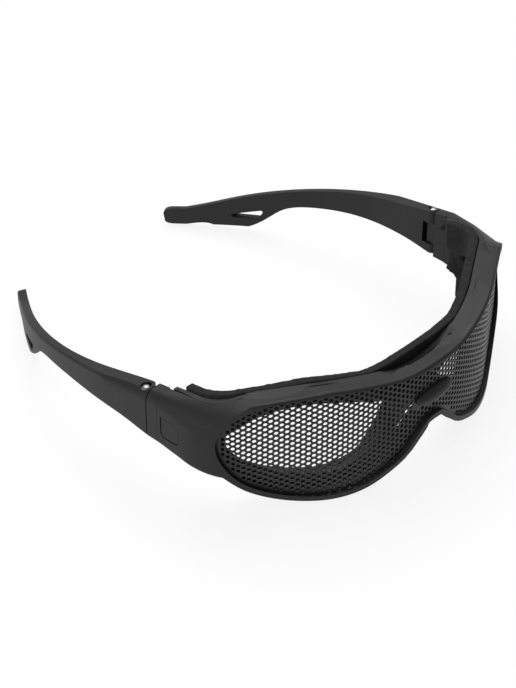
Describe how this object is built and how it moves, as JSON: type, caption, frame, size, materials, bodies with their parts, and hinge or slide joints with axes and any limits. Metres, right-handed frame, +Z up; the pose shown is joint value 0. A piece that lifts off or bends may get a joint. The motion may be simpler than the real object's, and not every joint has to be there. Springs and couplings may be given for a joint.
{
  "type": "mesh safety goggles",
  "caption": "Wrap-around safety goggles with a one-piece perforated lens, foam face seal, folding quick-release temples and a cord hole in each tail.",
  "frame": {"origin": "middle of the goggles' footprint, on the surface they lie on", "axes": "+Z up, the front faces -Y, +X is the wearer's left, so X is square to the plane of symmetry"},
  "size_m": [0.1464, 0.1666, 0.0468],
  "materials": {
    "frame_plastic": "black moulded nylon, fine matte texture",
    "lens_steel": "punched sheet steel, satin black coating",
    "seal_foam": "closed-cell foam, black, fine open skin",
    "screw_steel": "bright zinc-plated steel"
  },
  "bodies": {
    "front": {"front_frame": "frame_plastic", "mesh_lens": "lens_steel", "bridge_louvre": "frame_plastic", "inner_frame": "frame_plastic", "face_foam": "seal_foam", "retainer_rivets": "frame_plastic", "hinge_block_left": "frame_plastic", "hinge_block_right": "frame_plastic", "button_spring_left": "screw_steel", "button_spring_right": "screw_steel"},
    "temple_left_body": {"temple_left": "frame_plastic", "hinge_screw_left": "screw_steel", "hinge_nut_left": "screw_steel"},
    "temple_right_body": {"temple_right": "frame_plastic", "hinge_screw_right": "screw_steel", "hinge_nut_right": "screw_steel"},
    "button_left_body": {"release_button_left": "frame_plastic"},
    "button_right_body": {"release_button_right": "frame_plastic"}
  },
  "joints": [
    {"name": "temple_left_fold", "type": "hinge", "parent": "front", "child": "temple_left_body", "pos_m": [0.07, -0.01959, 0.02802], "axis": [0, 0, 1], "range_deg": [0, 86]},
    {"name": "temple_right_fold", "type": "hinge", "parent": "front", "child": "temple_right_body", "pos_m": [-0.07, -0.01959, 0.02802], "axis": [0, 0, -1], "range_deg": [0, 66]},
    {"name": "button_left_press", "type": "slide", "parent": "front", "child": "button_left_body", "axis": [-1, 0, 0], "range_m": [0, 0.0017], "stiffness_N_per_m": 600, "deforming": ["button_spring_left"]},
    {"name": "button_right_press", "type": "slide", "parent": "front", "child": "button_right_body", "axis": [1, 0, 0], "range_m": [0, 0.0017], "stiffness_N_per_m": 600, "deforming": ["button_spring_right"]}
  ]
}
